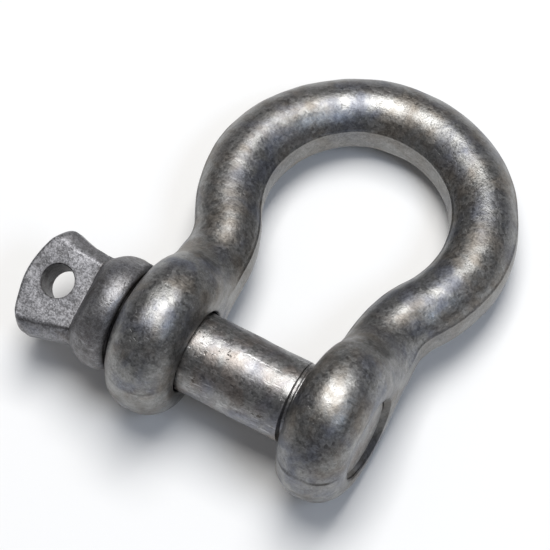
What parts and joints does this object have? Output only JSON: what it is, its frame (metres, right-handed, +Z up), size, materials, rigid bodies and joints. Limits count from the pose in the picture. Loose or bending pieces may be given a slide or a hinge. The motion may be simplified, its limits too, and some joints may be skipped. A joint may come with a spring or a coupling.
{
  "type": "bow shackle",
  "caption": "Galvanised bow shackle: an omega-shaped forged bow whose two ears are closed by a threaded screw pin with a flat tab head and eye.",
  "frame": {"origin": "centre of the pin, midway between the two ears", "axes": "+X along the pin's axis from the tab head to the threaded end, +Y towards the crown of the bow, +Z up with the shackle lying on its ears and crown"},
  "size_m": [0.0935, 0.1041, 0.0372],
  "materials": {
    "galvanised_bow": "hot-dip galvanised drop forging, worn satin zinc with dark stains",
    "galvanised_pin": "hot-dip galvanised forging, turned shank, speckled matt zinc on the tab",
    "galvanised_ring": "galvanised steel, dull"
  },
  "bodies": {
    "bow": {"bow": "galvanised_bow"},
    "pin_lead": {"shoulder_ring": "galvanised_ring"},
    "pin": {"screw_pin": "galvanised_pin"}
  },
  "joints": [
    {"name": "pin_advance", "type": "slide", "parent": "bow", "child": "pin_lead", "axis": [-1, 0, 0], "range_m": [0, 0.061]},
    {"name": "pin_turn", "type": "hinge", "parent": "pin_lead", "child": "pin", "pos_m": [0, 0, 0], "axis": [-1, 0, 0], "range_deg": [0, 8640]}
  ],
  "couplings": [
    {"joint": "pin_advance", "follows": "pin_turn", "m_per_rad": 0.00040425}
  ]
}
